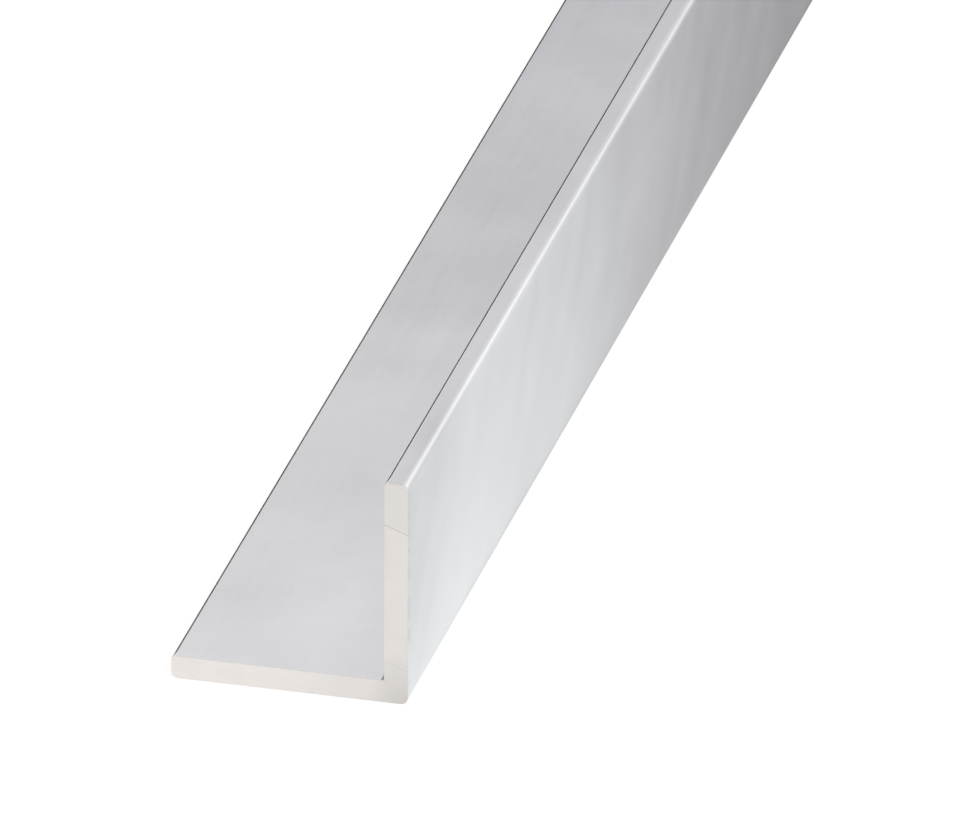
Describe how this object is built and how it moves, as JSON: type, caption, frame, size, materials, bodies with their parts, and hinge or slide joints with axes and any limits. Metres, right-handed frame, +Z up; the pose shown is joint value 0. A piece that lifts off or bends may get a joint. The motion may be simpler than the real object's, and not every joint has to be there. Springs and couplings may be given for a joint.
{
  "type": "aluminium angle section",
  "caption": "Straight length of equal-leg aluminium angle with slightly rounded outside edges, satin anodised skin and square-sawn bright ends.",
  "frame": {"origin": "middle of the flat leg's underside, half-way along the length: the bottom centre of the whole box", "axes": "+Z up; +Y along the length; the flat leg lies on Z = 0 and spans X, and the upright leg stands at its +X edge"},
  "size_m": [0.02, 1, 0.02],
  "materials": {
    "anodised_aluminium": "satin clear-anodised skin with fine lengthwise extrusion lines; the two sawn ends are bare, slightly warmer metal"
  },
  "bodies": {
    "root": {"angle_section": "anodised_aluminium"}
  },
  "joints": []
}
